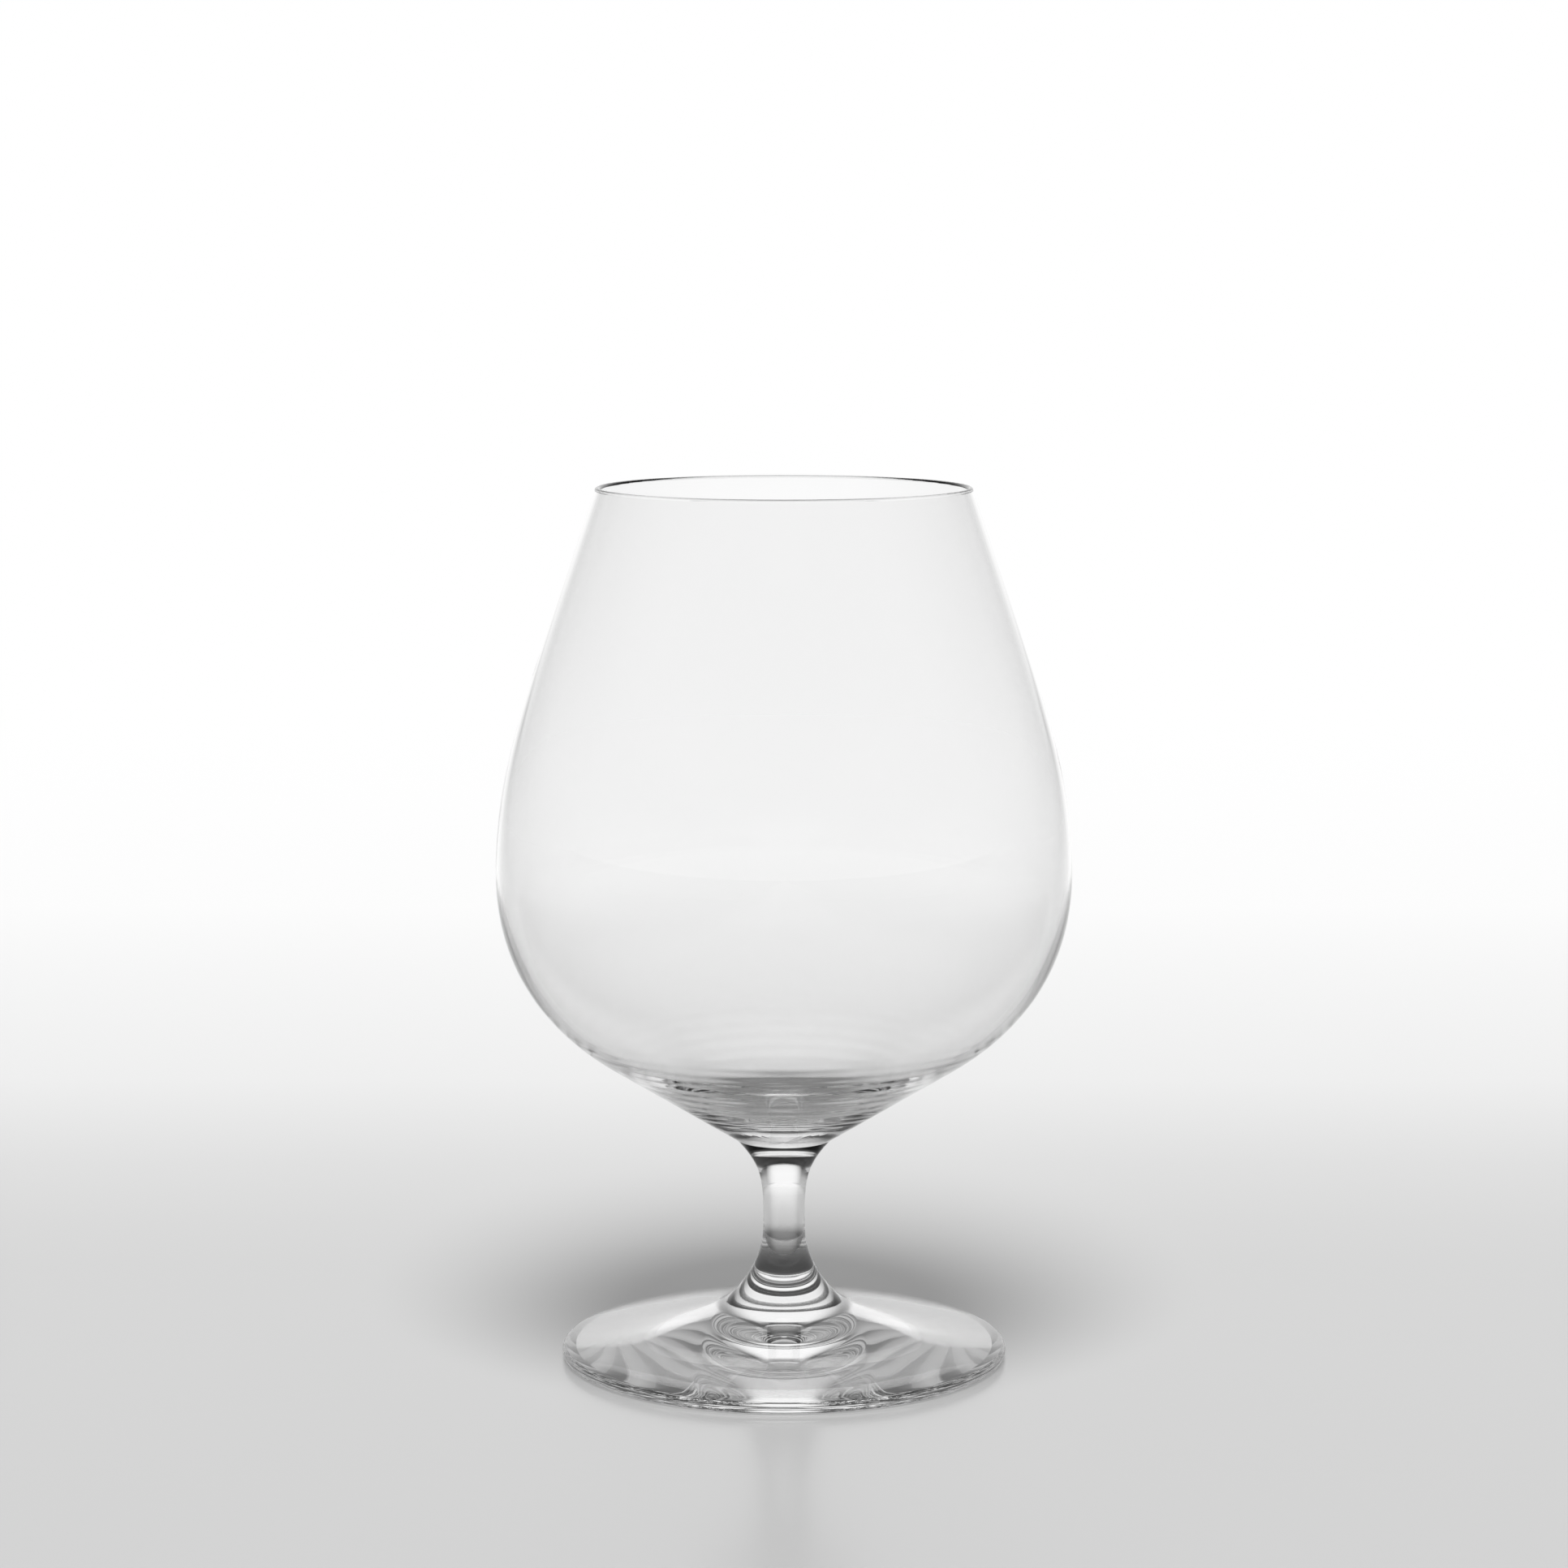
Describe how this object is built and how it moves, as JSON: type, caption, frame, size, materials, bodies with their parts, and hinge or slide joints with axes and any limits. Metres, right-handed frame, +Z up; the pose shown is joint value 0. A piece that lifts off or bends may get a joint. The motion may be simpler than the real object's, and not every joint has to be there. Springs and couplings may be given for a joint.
{
  "type": "brandy snifter",
  "caption": "Clear glass brandy snifter: a wide belly drawn in to a narrow rounded lip, a short drawn stem with flared ends and a spread round foot.",
  "frame": {"origin": "on the table plane, at the centre of the foot", "axes": "+Z up along the axis of turning, from the foot to the lip; -Y faces the picture's camera; the vessel is the same all round"},
  "size_m": [0.0948, 0.0948, 0.145],
  "materials": {
    "clear_glass": "clear, fire-polished, water-clear crystal"
  },
  "bodies": {
    "root": {"bowl": "clear_glass", "stem": "clear_glass", "foot": "clear_glass"}
  },
  "joints": []
}
